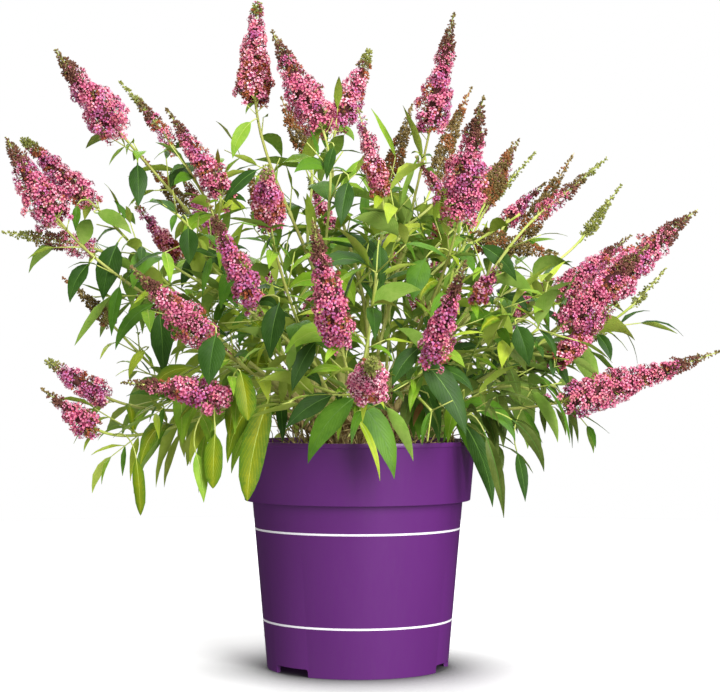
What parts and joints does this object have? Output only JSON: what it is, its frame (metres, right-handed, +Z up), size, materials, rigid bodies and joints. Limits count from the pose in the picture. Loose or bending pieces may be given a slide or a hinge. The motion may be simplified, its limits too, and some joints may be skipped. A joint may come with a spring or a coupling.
{
  "type": "potted butterfly bush",
  "caption": "Butterfly bush in a round tapered nursery pot: arching leafy stems from a low woody base end in long pink cone-shaped flower spikes.",
  "frame": {"origin": "on the pot's axis, level with the surface that the pot stands on; the crown is evenly spread round that axis", "axes": "+Z up, -Y towards the picture's viewer, +X to that viewer's right"},
  "size_m": [0.701, 0.6567, 0.66],
  "materials": {
    "pot": "satin moulded plastic, purple, with two thin white printed lines",
    "potting_mix": "crumbly dark brown bark and peat mix",
    "bark": "tan brown bark with fine lengthwise cracks",
    "foliage": "soft matt leaves, mid green to lime, with pink blossom"
  },
  "bodies": {
    "root": {"pot": "pot", "potting_mix": "potting_mix", "root_crown": "bark", "cane_01": "bark", "cane_02": "bark", "cane_03": "bark", "cane_04": "bark", "cane_05": "bark", "cane_06": "bark", "cane_07": "bark", "cane_08": "bark", "cane_09": "bark", "cane_10": "bark", "cane_11": "bark", "cane_12": "bark", "cane_13": "bark", "cane_14": "bark", "cane_15": "bark", "cane_16": "bark", "cane_17": "bark", "cane_18": "bark", "cane_19": "bark", "cane_20": "bark", "cane_21": "bark", "foliage_01": "foliage", "foliage_02": "foliage", "foliage_03": "foliage", "foliage_04": "foliage", "foliage_05": "foliage", "foliage_06": "foliage", "foliage_07": "foliage", "foliage_08": "foliage", "foliage_09": "foliage", "foliage_10": "foliage", "foliage_11": "foliage", "foliage_12": "foliage", "foliage_13": "foliage", "foliage_14": "foliage", "foliage_15": "foliage", "foliage_16": "foliage", "foliage_17": "foliage", "foliage_18": "foliage", "foliage_19": "foliage", "foliage_20": "foliage", "foliage_21": "foliage"}
  },
  "joints": []
}
